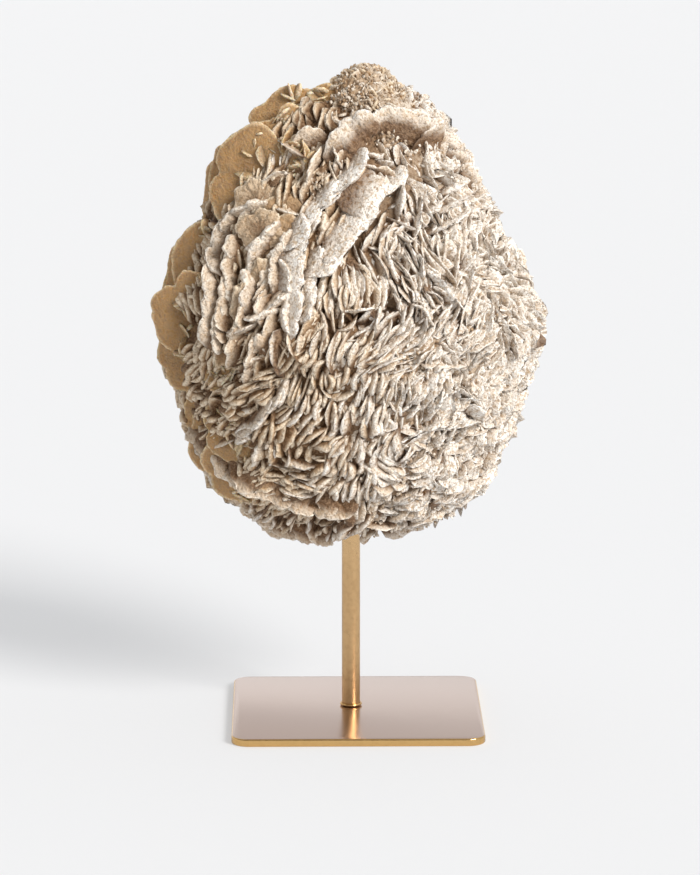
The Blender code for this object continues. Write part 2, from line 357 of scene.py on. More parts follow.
def sandy_material(name, deep, tan, frost, grain_height, glow=0.0):
    """A gypsum finish from the sandy group, with its own three colours."""
    material = bpy.data.materials.new(name)
    material.use_nodes = True
    tree = material.node_tree
    shader = tree.nodes["Principled BSDF"]
    look = tree.nodes.new("ShaderNodeGroup")
    look.node_tree = sandy
    # The deep colour is partly the body's own dark colour and partly painted shade.
    look.inputs["Deep_And_Shade"].default_value = (*deep, 1.0)
    look.inputs["Tan"].default_value = (*tan, 1.0)
    look.inputs["Frost"].default_value = (*frost, 1.0)
    for socket, attribute in (("Rim", "rim"), ("Rise", "rise"), ("Dust", "dust")):
        reader = tree.nodes.new("ShaderNodeAttribute")
        reader.attribute_name = attribute
        tree.links.new(reader.outputs["Fac"], look.inputs[socket])
    bump = tree.nodes.new("ShaderNodeBump")
    bump.inputs["Distance"].default_value = grain_height * MM
    bump.inputs["Strength"].default_value = 1.0
    tree.links.new(look.outputs["Color"], shader.inputs["Base Color"])
    tree.links.new(look.outputs["Roughness"], shader.inputs["Roughness"])
    tree.links.new(look.outputs["Height"], bump.inputs["Height"])
    tree.links.new(bump.outputs["Normal"], shader.inputs["Normal"])
    shader.inputs["Specular IOR Level"].default_value = 0.3
    if glow:
        shader.inputs["Subsurface Weight"].default_value = glow
        shader.inputs["Subsurface Radius"].default_value = (1.0, 0.55, 0.25)
        shader.inputs["Subsurface Scale"].default_value = 0.003
    return material


def mark(mesh, name, values):
    """Write one number per vertex under a name that the materials read."""
    layer = mesh.attributes.get(name) or mesh.attributes.new(name, "FLOAT", "POINT")
    layer.data.foreach_set("value", values)


def finish_rose_piece(piece, material):
    """Give a piece of the rose its finish and tie it to the stone it belongs to."""
    piece.data.materials.clear()
    piece.data.materials.append(material)
    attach(piece, "root")
    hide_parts("sand_rose")


def dust_at(seat):
    """How much pale dust lies there: little on the left, most on the lower right."""
    side = on_rose(*seat, 0.0).x - POST_LINE.x
    return clamp(0.48 + side / 90.0, 0.12, 1.0)


sides = [vert.co.x / MM - POST_LINE.x for vert in heart.data.vertices]
mark(heart.data, "rim", [0.0] * len(sides))
# Painted shade: the heart's rise mark is lower on the left, so it is painted darker there.
mark(heart.data, "rise", [clamp(0.3 + side / 220.0, 0.15, 0.7) for side in sides])
mark(heart.data, "dust", [clamp(0.3 + side / 90.0, 0.1, 1.0) for side in sides])
finish_rose_piece(heart, sandy_material(
    "heart_sand", (0.14, 0.07, 0.028), (0.31, 0.185, 0.09), (0.80, 0.70, 0.57), 2.2))


# ---- The blades ------------------------------------------------------------
# Gypsum grows as lens-shaped discs. A few shapes of disc are modelled, and each
# blade of the rose is a copy, sunk by its root and with its rim standing out.

def shade_at(seat):
    """How far down the faces the sand stays light there before the painted shade turns it brown: least on the
    left, so the left is painted darker.
    """
    return 3.2 + 6.0 * dust_at(seat) ** 2


draw = random.Random(2027)
FROST_WIDTH = 2.0
SHADE_DEPTH = 5.5


def model_blade(name, around, across, roughness, bite_count, bluntness, squareness, seed):
    """One disc of unit radius, its rim in the XY plane, with a blunt and bitten rim. Its
    outline goes from round to square as squareness goes from 0 to 1."""
    bpy.ops.mesh.primitive_uv_sphere_add(segments=around, ring_count=across, radius=1.0)
    blade = bpy.context.object
    blade.name = name
    bpy.ops.object.mode_set(mode="EDIT")
    bpy.ops.transform.vertex_random(offset=roughness, uniform=0.0, normal=0.0, seed=seed)
    bpy.ops.object.mode_set(mode="OBJECT")
    chips = random.Random(seed)
    waves = [(chips.randint(2, 8), chips.uniform(0, 2 * math.pi), chips.uniform(0.01, 0.05))
             for _ in range(4)]
    bites = [(chips.uniform(-math.pi, math.pi), chips.uniform(0.07, 0.25), chips.uniform(0.03, 0.12))
             for _ in range(bite_count)]
    outs = []
    for vert in blade.data.vertices:
        angle = math.atan2(vert.co.y, vert.co.x)
        reach = 1.0 + sum(depth * math.sin(count * angle + start) for count, start, depth in waves)
        reach *= (abs(math.cos(angle)) ** 3.5 + abs(math.sin(angle)) ** 3.5) ** (-squareness / 3.5)
        reach -= sum(depth * math.exp(-(math.remainder(angle - middle, 2 * math.pi) / width) ** 2)
                     for middle, width, depth in bites)
        outs.append(min(1.0, vert.co.xy.length))
        if abs(vert.co.z) > 0.05:
            vert.co.z = math.copysign((1.0 - outs[-1] ** bluntness) ** 0.6, vert.co.z)
        vert.co.x *= reach
        vert.co.y *= reach
    bpy.ops.object.shade_smooth()
    mark(blade.data, "rim", outs)
    return blade


fine_shapes = [model_blade(f"fine_shape_{n}", 12, 7, 0.06, 3, 4.5, 1.0, 10 + n) for n in range(6)]
scale_shapes = [model_blade(f"scale_shape_{n}", 9, 5, 0.12, 2, 3.0, 0.5, 90 + n) for n in range(6)]
leaf_shapes = [model_blade(f"leaf_shape_{n}", 18, 8, 0.05, 5, 4.0, 1.0, 30 + n) for n in range(6)]
petal_shapes = [model_blade(f"petal_shape_{n}", 36, 11, 0.03, 8, 3.2, 0.5, 70 + n) for n in range(4)]
plate_shapes = [model_blade(f"plate_shape_{n}", 90, 22, 0.006, 9, 5.0, 0.0, 50 + n) for n in range(4)]


def place_blade(shapes, middle, along, rising, length, deep, thick, dust, bow=0.0, shade=SHADE_DEPTH):
    """Copy a blade into the rose by its middle, its rim's direction and the way it stands
    out. Shade is how far down its faces the painted shade turns the sand brown, or None if they are open."""
    shape = draw.choice(shapes)
    blade = shape.copy()
    blade.data = shape.data.copy()
    mesh = blade.data
    mesh.transform(Matrix.Rotation(draw.uniform(0.0, 2 * math.pi), 4, "Z"))
    outs = [0.0] * len(mesh.vertices)
    mesh.attributes["rim"].data.foreach_get("value", outs)
    reach = min(length / 2, deep)
    mark(mesh, "rim", [max(0.0, 1.0 - (1.0 - out) * reach / FROST_WIDTH) for out in outs])
    # Painted shade: the rise mark falls from the top of the blade down its face and the material turns the
    # low part dark; on open faces it only falls towards the middle.
    if shade is None:
        mark(mesh, "rise", [0.25 + 0.75 * out ** 1.5 for out in outs])
    else:
        mark(mesh, "rise", [max(0.0, 1.0 - (1.0 - vert.co.y) * deep / shade) for vert in mesh.vertices])
    mark(mesh, "dust", [dust] * len(outs))
    if bow:
        for vert in mesh.vertices:
            vert.co.z += bow * vert.co.x ** 2
    sides = Matrix((along * length / 2, rising * deep, along.cross(rising) * thick / 2))
    sides = sides.transposed().to_4x4()
    mesh.transform(Matrix.Scale(MM, 4) @ Matrix.Translation(middle) @ sides)
    bpy.context.scene.collection.objects.link(blade)
    return blade


def set_blade(shapes, seat, along, length, tip, thick, lean=0.0, dust=0.5, bow=0.0, shade=SHADE_DEPTH):
    """Set a blade in the rose's skin. Seat is its turn and height, along its rim's direction
    and tip how far the rim stands proud of the outline."""
    normal = outward(*seat)
    along = (along - normal * along.dot(normal)).normalized()
    rising = Matrix.Rotation(math.radians(lean), 3, along) @ normal
    deep = max(0.5 * length, 6.0)
    middle = on_rose(*seat, 0.0) + normal * tip - rising * deep
    return place_blade(shapes, middle, along, rising, length, deep, thick, dust, bow, shade)


def disc_axes(facing, tilt):
    """The ways that a disc's face, its top and its side point."""
    turn, rise = math.radians(facing), math.radians(tilt)
    face = Vector((math.sin(turn) * math.cos(rise), -math.cos(turn) * math.cos(rise), math.sin(rise)))
    upright = (Vector((0, 0, 1)) - face * face.z).normalized()
    return face, upright, upright.cross(face)


def lay_disc(shapes, middle, wide, tall, facing, tilt, thick, dust):
    """Lay a disc with its face in view: facing is its turn from the front, tilt looks up."""
    _, upright, sideways = disc_axes(facing, tilt)
    spot = Vector((POST_LINE.x, POST_LINE.y, 0.0)) + Vector(middle)
    return place_blade(shapes, spot, sideways, upright, 2 * wide, tall, thick, dust, 0.0, None)


def step_along(seat, direction, distance):
    """The seat that lies a distance away over the surface."""
    place = on_rose(*seat, 0.0) + direction * distance
    side = place.x - POST_LINE.x - crown_shift(place.z)
    turn = math.atan2(side, -(place.y - POST_LINE.y) / DEPTH_TO_WIDTH)
    return math.degrees(turn), clamp(place.z, 92.0, 334.0)


def lay_book(shapes, seat, along, count, spacing, length, tip, thick, lean, dust, unrule=1.0):
    """Lay blades side by side like the pages of a book, each a little out of true."""
    across = outward(*seat).cross(along).normalized()
    pages = []
    for page in range(count):
        offset = page - (count - 1) / 2
        place = step_along(seat, across, (offset + draw.uniform(-0.2, 0.2)) * spacing)
        place = step_along(place, along, draw.uniform(-0.22, 0.22) * length * unrule)
        turned = Matrix.Rotation(math.radians(draw.gauss(0, 5) * unrule), 3, outward(*place)) @ along
        short = 1.0 - 0.3 * abs(offset) / count
        pages.append(set_blade(shapes, place, turned, length * short * draw.uniform(0.75, 1.2),
                               tip + draw.uniform(-2.5, 1.0) * unrule, thick * draw.uniform(0.75, 1.3),
                               lean + draw.gauss(0, 5) * unrule, dust * draw.uniform(0.6, 1.4),
                               draw.uniform(-2.0, 2.0), shade_at(place)))
    return pages


def seen_from_front(x, z):
    """The turn and height of the stone that a level look from the front meets at x, z."""
    height = z
    for _ in range(5):
        side = clamp(x / max(half_width(height) - 3.0, 1.0), -0.97, 0.97)
        drop = VIEW_DROP * half_width(height) * DEPTH_TO_WIDTH * math.sqrt(1 - side * side)
        height = min(z + drop, 333.0)
    return math.degrees(math.asin(side)), height


def seen_direction(seat, grain):
    """The direction along the surface that looks turned by grain degrees from level."""
    normal = outward(*seat)
    angle = math.radians(grain)
    depth = -(normal.x * math.cos(angle) + normal.z * math.sin(angle)) / min(normal.y, -0.25)
    return Vector((math.cos(angle), clamp(depth, -1.6, 1.6), math.sin(angle)))


def surface_direction(seat, grain):
    """The direction along the surface at grain degrees from level, going right."""
    normal = outward(*seat)
    level = Vector((0, 0, 1)).cross(normal).normalized()
    angle = math.radians(grain)
    return level * math.cos(angle) + normal.cross(level) * math.sin(angle)


def join_blades(name, blades):
    """Make one piece of many blades."""
    lone_selection(blades[0])
    for blade in blades:
        blade.select_set(True)
    bpy.ops.object.join()
    piece = bpy.context.object
    piece.name = name
    return piece


# Broad plates of the left rim. They show their faces, are clean of sand and let
# a little light through, so they look amber, with a thin pale line for a rim. Small
# scales have grown on their inner halves.
# Rows: middle (x, y, z from the post), half width, half height, facing, tilt, thickness.
RIM_PLATES = [
    ((-24, -8, 301), 27, 25, -15, 10, 4.5), ((-30, -18, 292), 24, 22, -10, 12, 3.6),
    ((-44, -28, 277), 29, 30, -22, 8, 3.8), ((-50, -20, 282), 24, 20, -28, 6, 3.4),
    ((-66, -18, 232), 28, 27, -26, 4, 3.8), ((-72, -10, 222), 28, 29, -34, 2, 3.6),
    ((-76, -31, 211), 25, 25, -20, 0, 4.2), ((-71, -22, 194), 30, 30, -25, -3, 3.6),
    ((-66, -42, 188), 10, 14, -28, 0, 4.2), ((-66, -20, 161), 22, 28, -30, -4, 3.8),
    ((-63, -38, 167), 11, 12, -26, 0, 3.8), ((-58, -38, 155), 18, 18, -24, -6, 3.8),
    ((-57, -22, 146), 28, 26, -24, -12, 3.6), ((-44, -22, 131), 31, 25, -14, -20, 3.6),
    ((-50, -34, 136), 26, 22, -16, -14, 3.2), ((-26, -20, 112), 24, 20, -8, -24, 3.6),
    ((-70, -4, 178), 26, 34, -50, 0, 3.6),
    ((-60, -4, 262), 24, 30, -48, 6, 3.6), ((-60, 0, 140), 24, 26, -48, -10, 3.6),
]
rim_blades = [lay_disc(plate_shapes, middle, wide, tall, facing, tilt, thick, 0.12)
              for middle, wide, tall, facing, tilt, thick in RIM_PLATES]
for middle, wide, tall, facing, tilt, thick in RIM_PLATES:
    face, upright, sideways = disc_axes(facing, tilt)
    for _ in range(int(1.9 * wide)):
        over, up = draw.uniform(-0.35, 0.9), draw.uniform(-0.85, 0.85)
        spot = Vector((POST_LINE.x, POST_LINE.y, 0.0)) + Vector(middle) + sideways * over * wide
        spot += upright * up * tall * math.sqrt(1.0 - over * over) + face * 0.35 * thick
        flat = draw.uniform(0.0, 2 * math.pi)
        along = sideways * math.cos(flat) + upright * math.sin(flat)
        rising = (face + along.cross(face) * draw.uniform(-1.5, 1.5)).normalized()
        size = draw.uniform(4.0, 13.0)
        rim_blades.append(place_blade(scale_shapes, spot, along, rising, size, 0.3 * size,
                                      draw.uniform(1.4, 2.6), draw.uniform(0.1, 0.45)))
rim_plates = join_blades("rim_plates", rim_blades)
shape_noise(rim_plates, "waves", 10.0, 2.4)
shape_noise(rim_plates, "wrinkles", 3.2, 1.3, hard=True)
amber = sandy_material("amber_plate", (0.17, 0.095, 0.04), (0.50, 0.36, 0.205), (0.88, 0.77, 0.61), 1.6,
                       glow=0.3)
amber.node_tree.nodes["Principled BSDF"].inputs["Specular IOR Level"].default_value = 0.15
finish_rose_piece(rim_plates, amber)

# Broad petals that show a smooth, frosted face between the books, laid like the
# rim plates and in the same rows, with their dust at the end.
BROAD_PETALS = [
    ((-37, -47, 240), 25, 27, -16, 6, 5.0, 0.35), ((-34, -49, 248), 16, 18, -8, 4, 5.0, 0.4),
    ((-45, -47, 257), 13, 11, -18, 12, 5.0, 0.7), ((-44, -55, 233), 7, 13, -16, 2, 7.0, 0.7),
    ((-52, -55, 217), 11, 15, -24, 0, 4.5, 0.2), ((-54, -57, 219), 6, 14, -8, 0, 5.0, 0.7),
    ((-46, -37, 268), 14, 14, -18, 14, 4.5, 0.7), ((-62, -51, 200), 9, 13, -28, 0, 4.0, 0.2),
    ((-30, -46, 262), 18, 14, -10, 20, 4.5, 0.3), ((-66, -40, 217), 14, 18, -30, 0, 4.0, 0.2),
]
# Great petals: the thick ridges and arches that can be told apart one by one.
# Rows: x and z as seen from the front, grain, length, stand, thickness, lean.
GREAT_PETALS = [
    (34, 268, -62, 20, 9, 4.5, -20), (24, 264, 84, 26, 11, 4.0, 12), (31, 256, 80, 22, 10, 3.6, -10),
    (53, 271, 26, 22, 10, 5.0, 12), (50, 261, 24, 24, 11, 5.0, 12), (65, 266, 16, 20, 10, 5.0, 12),
    (47, 251, 26, 27, 11, 4.6, 14), (65, 260, 14, 18, 10, 4.6, 12), (61, 250, 20, 16, 9, 4.2, 12),
    (40, 258, 34, 16, 9, 4.4, 12), (-31, 256, -12, 22, 9, 4.0, 10), (-26, 212, 70, 26, 9, 4.0, -20),
    (-14, 217, 78, 28, 10, 5.0, 20), (-46, 134, 76, 16, 9, 4.6, 0), (4, 207, 4, 21, 10, 3.0, -10),
    (-5, 202, 84, 12, 9, 2.6, 0), (12, 202, 80, 14, 9, 2.6, 0), (14, 184, 42, 44, 9, 4.0, -14),
    (52, 178, 4, 22, 8, 3.0, -14), (40, 172, 48, 20, 8, 3.0, -10), (82, 236, -67, 30, 9, 3.4, 10),
    (90, 196, -80, 36, 9, 3.4, 10), (66, 206, 88, 26, 9, 3.0, 0), (60, 118, 24, 26, 8, 3.4, -20),
    (48, 112, 22, 30, 8, 3.4, -20), (-34, 291, -31, 26, 11, 3.0, 16), (-18, 282, 65, 26, 11, 3.0, 10),
    (-10, 287, -66, 15, 10, 2.6, 4), (-25, 298, 34, 20, 9, 4.0, -26), (-38, 275, 23, 26, 9, 3.6, -26),
]
# Ridges: petals that overlap along a line, by their places seen from the front. Left to
# right or upwards; with a lean they hang down or to the right, against it they curl back.
# Rows: line, length, stand, thickness, lean, dust, shade.
RIDGES = [
    ([(-23, 205), (-23, 222), (-20, 240), (-13, 256), (-2, 270), (9, 280)], 26, 12, 5.5, 48, 1.0, 20),
    ([(-7, 226), (0, 240), (8, 251), (16, 262), (27, 272)], 24, 12, 5.5, 48, 1.0, 20),
    ([(-70, 196), (-69, 212), (-68, 228), (-65, 244), (-56, 256), (-42, 262)], 26, 13, 6.4, -14, 0.45, 9),
    ([(-51, 212), (-50, 226), (-46, 240), (-38, 248)], 22, 13, 6.0, -14, 0.5, 9),
    ([(-60, 214), (-60, 228), (-56, 242)], 20, 12, 6.0, -10, 0.4, 8),
    ([(-38, 222), (-36, 234), (-31, 244)], 18, 12, 5.4, -10, 0.45, 8),
    ([(-19, 203), (-17, 220), (-13, 236)], 18, 10, 4.6, 40, 0.8, 14),
    ([(-66, 190), (-64, 204), (-62, 222)], 22, 12, 5.4, -12, 0.4, 8),
    ([(-46, 206), (-43, 220), (-40, 232)], 20, 12, 5.4, -10, 0.4, 8),
    ([(-32, 200), (-30, 214), (-28, 230)], 20, 12, 5.4, 8, 0.6, 9),
    ([(-61, 180), (-59, 192), (-53, 206)], 20, 11, 5.0, -14, 0.35, 7),
    ([(-52, 174), (-47, 188), (-40, 200)], 20, 11, 5.0, -10, 0.4, 7),
    ([(-14, 290), (-5, 302), (9, 309), (26, 306), (43, 296)], 26, 13, 5.5, -30, 0.6, 12),
    ([(43, 296), (54, 284), (63, 270)], 22, 11, 4.2, -20, 0.6, 10),
    ([(-84, 146), (-76, 138), (-67, 131), (-57, 121), (-44, 114), (-27, 107), (-4, 103)],
     30, 11, 3.4, 32, 0.4, 8),
    ([(-74, 124), (-62, 115), (-50, 105), (-38, 96), (-24, 91), (-8, 89)], 22, 10, 3.4, 30, 0.4, 8),
    ([(-57, 138), (-46, 147), (-38, 156), (-31, 167)], 22, 12, 5.0, 16, 0.55, 9),
    ([(-55, 195), (-44, 204), (-32, 213)], 22, 12, 5.0, 16, 0.5, 9),
    ([(26, 142), (40, 149), (62, 151)], 22, 10, 2.8, -14, 1.0, 12),
    ([(38, 156), (43, 165), (52, 168), (60, 162), (63, 152)], 14, 10, 2.8, -14, 1.0, 12),
    ([(64, 236), (76, 226), (86, 213), (94, 198)], 24, 10, 3.2, 12, 1.0, 12),
    ([(27, 238), (36, 225), (49, 210)], 26, 11, 3.0, 14, 1.0, 12),
    ([(60, 250), (59, 236), (58, 222)], 20, 10, 2.8, 10, 1.0, 12),
]
broad_blades = []
for middle, wide, tall, facing, tilt, thick, dust in BROAD_PETALS:
    broad_blades.append(lay_disc(plate_shapes, middle, wide, tall, facing, tilt, thick, 0.5 * dust))
broad_petals = join_blades("broad_petals", broad_blades)
shape_noise(broad_petals, "waves", 9.0, 3.2)
shape_noise(broad_petals, "crust", 2.4, 2.2, hard=True)
broad_finish = sandy_material(
    "broad_gypsum", (0.17, 0.09, 0.04), (0.50, 0.37, 0.24), (0.90, 0.82, 0.70), 2.2)
finish_rose_piece(broad_petals, broad_finish)

petal_blades = []
for x, z, grain, length, stand, thick, lean in GREAT_PETALS:
    seat = seen_from_front(x, z)
    petal_blades.append(set_blade(petal_shapes, seat, seen_direction(seat, grain), length,
                                  stand - BOOK_BASE, thick, lean, max(0.45, dust_at(seat)), 0.0, 12.0))
for line, length, stand, thick, lean, dust, shade in RIDGES:
    for (from_x, from_z), (to_x, to_z) in zip(line, line[1:]):
        grain = math.degrees(math.atan2(to_z - from_z, to_x - from_x))
        steps = max(1, round(math.hypot(to_x - from_x, to_z - from_z) / (0.26 * length)))
        for step in range(steps):
            share = (step + draw.uniform(0.3, 0.7)) / steps
            seat = seen_from_front(from_x + (to_x - from_x) * share, from_z + (to_z - from_z) * share)
            along = seen_direction(seat, grain + draw.gauss(0, 10))
            petal_blades.append(set_blade(petal_shapes, seat, along, length * draw.uniform(0.6, 1.15),
                                          stand - BOOK_BASE + draw.uniform(-1.5, 1.0),
                                          thick * draw.uniform(0.85, 1.15),
                                          lean + draw.gauss(0, 9), dust, draw.uniform(-1.0, 1.0), shade))
great_petals = join_blades("great_petals", petal_blades)
shape_noise(great_petals, "waves", 9.0, 3.2)
shape_noise(great_petals, "chips", 2.6, 1.8, hard=True)
shape_noise(great_petals, "grit", 1.2, 0.8)
petal_finish = sandy_material(
    "petal_gypsum", (0.13, 0.06, 0.02), (0.60, 0.46, 0.32), (0.95, 0.91, 0.85), 2.2)
finish_rose_piece(great_petals, petal_finish)

# Books: blades that lie side by side like pages. Rows: x and z as seen from the
# front, grain, how many, spacing, length, stand, thickness, lean.
BOOKS = [
    (12, 232, -60, 3, 5.0, 24, 8, 3.0, 16), (23, 226, -60, 4, 4.6, 22, 8, 3.0, 16),
    (33, 232, -56, 3, 4.4, 24, 8, 3.0, 16), (26, 214, -64, 3, 4.4, 20, 7, 2.8, 16),
    (36, 212, -62, 3, 4.4, 20, 7, 2.8, 14), (44, 222, -55, 3, 4.0, 26, 7, 2.8, 12),
    (49, 240, 86, 3, 6.0, 26, 8, 2.8, -12), (60, 240, 88, 3, 6.0, 30, 8, 2.6, -12),
    (72, 246, -86, 3, 5.0, 24, 7, 2.6, -8), (70, 230, -30, 3, 5.0, 16, 7, 2.6, 8),
    (76, 220, -44, 3, 5.0, 22, 7, 2.6, 8), (54, 216, 62, 3, 5.0, 18, 7, 2.8, 0),
    (13, 249, 50, 3, 4.5, 16, 8, 3.0, 10), (-4, 218, 80, 4, 4.6, 18, 7, 2.8, -8),
    (8, 218, 84, 3, 4.6, 14, 6, 2.8, -8), (-24, 184, 74, 4, 5.2, 26, 8, 4.0, -10),
    (-8, 190, 76, 4, 4.8, 20, 8, 3.4, -8), (2, 188, 52, 3, 4.8, 18, 7, 3.2, 8),
    (-37, 188, 90, 4, 4.8, 24, 8, 3.2, -20), (-32, 202, 62, 3, 5.0, 18, 8, 3.2, -14),
    (-46, 172, 22, 3, 4.5, 18, 7, 2.6, 8), (-29, 164, 66, 4, 5.0, 22, 8, 3.4, -8),
    (-26, 150, 44, 4, 5.0, 20, 8, 3.6, 12), (-54, 150, 26, 2, 6.0, 22, 8, 3.2, 14),
    (-60, 138, 28, 2, 6.0, 22, 8, 3.0, 14), (-36, 136, 76, 3, 6.0, 16, 8, 3.0, 0),
    (-28, 124, -8, 4, 3.2, 28, 8, 2.2, 6), (-30, 114, -12, 5, 3.0, 28, 7, 2.2, 6),
    (-8, 122, 78, 3, 4.6, 16, 7, 2.6, 0), (-16, 156, 84, 4, 4.6, 16, 7, 3.2, 0),
    (-8, 140, 44, 3, 5.0, 16, 7, 3.6, 10), (-2, 156, 70, 3, 4.6, 16, 7, 3.2, 0),
    (30, 194, 56, 5, 3.6, 22, 7, 2.4, 0), (42, 196, 64, 5, 3.4, 20, 7, 2.2, 0),
    (22, 162, 74, 5, 3.8, 20, 6, 2.4, 0), (34, 164, 68, 5, 3.4, 18, 6, 2.2, 0),
    (20, 178, 30, 3, 4.0, 16, 6, 2.6, 0), (8, 168, 62, 4, 4.4, 16, 7, 3.0, 0),
    (70, 192, 66, 4, 4.6, 22, 7, 2.4, 0), (80, 202, -58, 4, 4.4, 22, 7, 2.4, 8),
    (82, 178, 72, 4, 4.0, 24, 6, 2.2, 0), (72, 158, 62, 5, 3.6, 20, 6, 2.2, 0),
    (58, 140, 50, 4, 4.4, 18, 6, 2.4, 0), (40, 130, 30, 4, 4.2, 18, 6, 2.4, 0),
    (16, 142, 70, 4, 4.2, 16, 6, 2.8, 0), (4, 134, 84, 3, 4.6, 14, 7, 3.0, 0),
    (22, 120, -20, 3, 4.2, 16, 6, 2.4, 0), (26, 104, 14, 4, 3.5, 20, 6, 2.2, 6),
    (6, 112, 76, 3, 4.6, 14, 6, 2.6, 0), (-20, 96, 64, 7, 4.6, 18, 9, 3.2, 0),
    (-42, 103, 52, 4, 5.4, 18, 9, 3.2, 0), (-40, 284, 68, 4, 4.0, 12, 6, 2.0, 0),
    (-30, 288, 60, 3, 4.0, 12, 6, 2.0, 0), (44, 284, -64, 3, 4.0, 16, 6, 2.4, 0),
    (24, 286, -50, 3, 4.6, 14, 6, 2.4, 0), (56, 280, -58, 3, 4.0, 16, 6, 2.4, 0),
    (-78, 219, -60, 2, 5.0, 16, 3, 2.0, 0), (-72, 204, 76, 2, 5.0, 16, 3, 2.0, 0),
    (-30, 258, 60, 3, 4.0, 10, 5, 2.2, 0),
]
book_blades = []
for x, z, grain, count, spacing, length, stand, thick, lean in BOOKS:
    seat = seen_from_front(x, z)
    book_blades += lay_book(leaf_shapes, seat, seen_direction(seat, grain), count, spacing, 1.15 * length,
                            stand - BOOK_BASE, 1.15 * thick, lean, max(0.5, dust_at(seat)))
leaf_books = join_blades("leaf_books", book_blades)
shape_noise(leaf_books, "chips", 2.0, 1.5, hard=True)
shape_noise(leaf_books, "grit", 1.1, 0.7)
leaf_finish = sandy_material(
    "leaf_gypsum", (0.12, 0.055, 0.018), (0.56, 0.42, 0.28), (0.95, 0.91, 0.85), 2.2)
finish_rose_piece(leaf_books, leaf_finish)


def front_grain(x, z):
    """The grain at a place of the front: that of the books about it, the near ones first."""
    east = north = 0.0
    for book in BOOKS:
        weight = 1.0 / (9.0 + (book[0] - x) ** 2 + (book[1] - z) ** 2) ** 2
        east += weight * math.cos(math.radians(2 * book[2]))
        north += weight * math.sin(math.radians(2 * book[2]))
    return math.degrees(math.atan2(north, east)) / 2


# Places that no fine blade grows over, as x, z and radius seen from the front:
# the clean rim plates, the faces of the great petals and the sandy crown.
CLEARINGS = [
    (-68, 278, 8), (-62, 290, 8), (-78, 256, 10), (-90, 236, 11), (-97, 216, 14), (-95, 196, 15),
    (-92, 176, 11), (-92, 158, 11), (-84, 142, 9), (-72, 160, 6), (-67, 178, 6), (-72, 126, 6),
    (-28, 320, 10), (-46, 308, 8), (10, 324, 22), (-8, 318, 9), (32, 312, 9), (24, 314, 12),
    (14, 298, 12), (30, 296, 9), (6, 283, 5), (2, 124, 4), (19, 198, 5), (19, 210, 5), (4, 202, 5),
    (0, 270, 6), (-10, 257, 7), (-17, 243, 7), (-21, 230, 7), (-23, 218, 6), (14, 262, 6), (8, 251, 6),
    (2, 240, 6), (-28, 134, 4), (-54, 132, 4), (-55, 264, 7), (-38, 240, 6), (-34, 250, 6),
]


def seen_spot(turn, height):
    """Where a seat shows from the front: x from the post, and z."""
    place = on_rose(turn, height, 0.0)
    return place.x - POST_LINE.x, height + VIEW_DROP * (place.y - POST_LINE.y)


def is_clear(seat):
    """Whether a seat on the front lies in a clearing."""
    if abs(seat[0]) > 100:
        return False
    x, z = seen_spot(*seat)
    return any((x - cx) ** 2 + (z - cz) ** 2 < radius ** 2 for cx, cz, radius in CLEARINGS)


def spread_seats(count, low, high, turn_from, turn_to):
    """Seats spread evenly over part of the rose, by a sequence that never clumps."""
    seats = []
    for step in range(1, count + 1):
        height = low + (high - low) * ((step * 0.7548777) % 1.0)
        turn = turn_from + (turn_to - turn_from) * ((step * 0.5698403) % 1.0)
        if draw.random() < half_width(height) / 99.0 and not is_clear((turn, height)):
            seats.append((turn, height))
    return seats


def grain_at(seat):
    """The rim direction that the blades about a seat share."""
    turn, height = seat
    if abs(turn) < 88:
        return seen_direction(seat, front_grain(*seen_spot(turn, height)))
    drift = 60 * math.sin(0.05 * height + 0.07 * turn) + 50 * math.cos(0.031 * height - 0.045 * turn)
    return surface_direction(seat, drift)


def turned(seat, direction, degrees):
    """A direction turned about the outward one."""
    return Matrix.Rotation(math.radians(degrees), 3, outward(*seat)) @ direction


def join_in_parts(name, letters, blades, chip_size, chip_depth):
    """Join blades into a few pieces of like size, chip them and give them their finish."""
    for part, letter in enumerate(letters):
        piece = join_blades(name + letter, blades[part::len(letters)])
        shape_noise(piece, "chips", chip_size, chip_depth, hard=True)
        finish_rose_piece(piece, leaf_finish)


# Fine books fill the front between the large ones, along the grain about them.
fine_blades = []
for seat in spread_seats(760, 92, 324, -95, 95):
    lacy = seat[0] > 14
    grain = turned(seat, grain_at(seat), draw.gauss(0, 28 if lacy else 16))
    if lacy:
        fine_blades += lay_book(fine_shapes, seat, grain, draw.randint(3, 6), draw.uniform(2.4, 3.8),
                                draw.uniform(9, 22), draw.uniform(-2.5, 1.0), draw.uniform(1.5, 2.4),
                                draw.gauss(0, 16), dust_at(seat), 1.5)
    else:
        fine_blades += lay_book(fine_shapes, seat, grain, draw.randint(2, 6), draw.uniform(3.0, 4.6),
                                draw.uniform(12, 28), draw.uniform(-3.5, 0.5), draw.uniform(2.8, 4.6),
                                draw.gauss(0, 16), dust_at(seat))
join_in_parts("fine_books_", "abcd", fine_blades, 1.9, 1.2)

# The back and sides grow broader blades, in looser books.
back_blades = []
for seat in spread_seats(110, 104, 262, 108, 252):
    back_blades.append(set_blade(petal_shapes, seat, turned(seat, grain_at(seat), draw.gauss(0, 25)),
                                 draw.uniform(26, 42), draw.uniform(0.0, 3.0), draw.uniform(3.6, 5.4),
                                 draw.uniform(-26, 26), dust_at(seat), 0.0, 12.0))
for seat in spread_seats(500, 90, 316, 88, 272):
    grain = turned(seat, grain_at(seat), draw.gauss(0, 16))
    back_blades += lay_book(leaf_shapes, seat, grain, draw.randint(2, 5), draw.uniform(4.0, 6.0),
                            draw.uniform(18, 38), draw.uniform(-3.0, 1.5), draw.uniform(3.0, 4.6),
                            draw.gauss(0, 16), dust_at(seat))
join_in_parts("back_petals_", "abc", back_blades, 2.2, 1.6)

